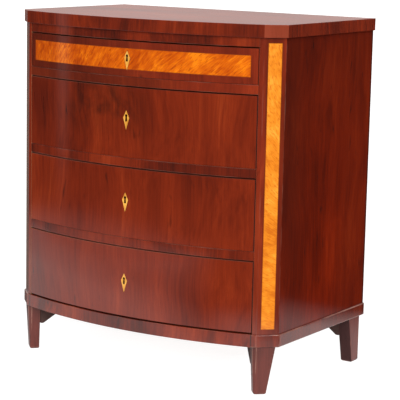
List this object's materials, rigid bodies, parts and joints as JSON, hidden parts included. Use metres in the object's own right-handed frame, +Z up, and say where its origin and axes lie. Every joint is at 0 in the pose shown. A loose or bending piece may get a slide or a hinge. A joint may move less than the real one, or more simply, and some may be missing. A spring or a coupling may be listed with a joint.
{
  "type": "bow front chest of drawers",
  "caption": "Mahogany chest of drawers with a bowed front between canted corners, satinwood inlay, bone escutcheons and tapered feet; drawers slide on runners and lock with bolts.",
  "frame": {"origin": "on the floor under the middle of the chest's outline", "axes": "+X to the right seen from the front, +Y to the back, +Z up; the drawers open towards -Y"},
  "size_m": [0.758, 0.5029, 0.85],
  "materials": {
    "mahogany": "French polished, glossy",
    "satinwood": "French polished, glossy",
    "pine": "unfinished, aged",
    "dark_pine": "unfinished, darkened",
    "bone": "polished bone",
    "brass": "dull",
    "iron": "dull, worn"
  },
  "bodies": {
    "carcass": {"top_board": "mahogany", "side_left": "mahogany", "side_right": "mahogany", "post_left": "mahogany", "post_right": "mahogany", "rail_top": "mahogany", "rail_1": "mahogany", "rail_2": "mahogany", "rail_3": "mahogany", "base_front": "mahogany", "base_sides": "mahogany", "base_corners": "mahogany", "foot_front_left": "mahogany", "foot_front_right": "mahogany", "foot_back_left": "mahogany", "foot_back_right": "mahogany", "corner_strips": "satinwood", "bottom_board": "pine", "back_boards": "pine", "base_back": "pine", "drawer_runners": "pine", "drawer_guides": "pine", "drawer_stops": "pine", "foot_blocks": "dark_pine", "back_nails": "iron"},
    "drawer_1": {"drawer_1_front": "mahogany", "drawer_1_side_left": "pine", "drawer_1_side_right": "pine", "drawer_1_back": "pine", "drawer_1_bottom": "pine", "drawer_1_escutcheon": "bone", "drawer_1_lock": "brass", "drawer_1_panel": "satinwood", "drawer_1_banding": "mahogany"},
    "bolt_1": {"drawer_1_bolt": "iron"},
    "drawer_2": {"drawer_2_front": "mahogany", "drawer_2_side_left": "pine", "drawer_2_side_right": "pine", "drawer_2_back": "pine", "drawer_2_bottom": "pine", "drawer_2_escutcheon": "bone", "drawer_2_lock": "brass"},
    "bolt_2": {"drawer_2_bolt": "iron"},
    "drawer_3": {"drawer_3_front": "mahogany", "drawer_3_side_left": "pine", "drawer_3_side_right": "pine", "drawer_3_back": "pine", "drawer_3_bottom": "pine", "drawer_3_escutcheon": "bone", "drawer_3_lock": "brass"},
    "bolt_3": {"drawer_3_bolt": "iron"},
    "drawer_4": {"drawer_4_front": "mahogany", "drawer_4_side_left": "pine", "drawer_4_side_right": "pine", "drawer_4_back": "pine", "drawer_4_bottom": "pine", "drawer_4_escutcheon": "bone", "drawer_4_lock": "brass"},
    "bolt_4": {"drawer_4_bolt": "iron"}
  },
  "joints": [
    {"name": "drawer_1_slide", "type": "slide", "parent": "carcass", "child": "drawer_1", "axis": [0, -1, 0], "range_m": [0, 0.35]},
    {"name": "bolt_1_throw", "type": "slide", "parent": "drawer_1", "child": "bolt_1", "axis": [0, 0, 1], "range_m": [0, 0.008]},
    {"name": "drawer_2_slide", "type": "slide", "parent": "carcass", "child": "drawer_2", "axis": [0, -1, 0], "range_m": [0, 0.35]},
    {"name": "bolt_2_throw", "type": "slide", "parent": "drawer_2", "child": "bolt_2", "axis": [0, 0, 1], "range_m": [0, 0.008]},
    {"name": "drawer_3_slide", "type": "slide", "parent": "carcass", "child": "drawer_3", "axis": [0, -1, 0], "range_m": [0, 0.35]},
    {"name": "bolt_3_throw", "type": "slide", "parent": "drawer_3", "child": "bolt_3", "axis": [0, 0, 1], "range_m": [0, 0.008]},
    {"name": "drawer_4_slide", "type": "slide", "parent": "carcass", "child": "drawer_4", "axis": [0, -1, 0], "range_m": [0, 0.35]},
    {"name": "bolt_4_throw", "type": "slide", "parent": "drawer_4", "child": "bolt_4", "axis": [0, 0, 1], "range_m": [0, 0.008]}
  ]
}
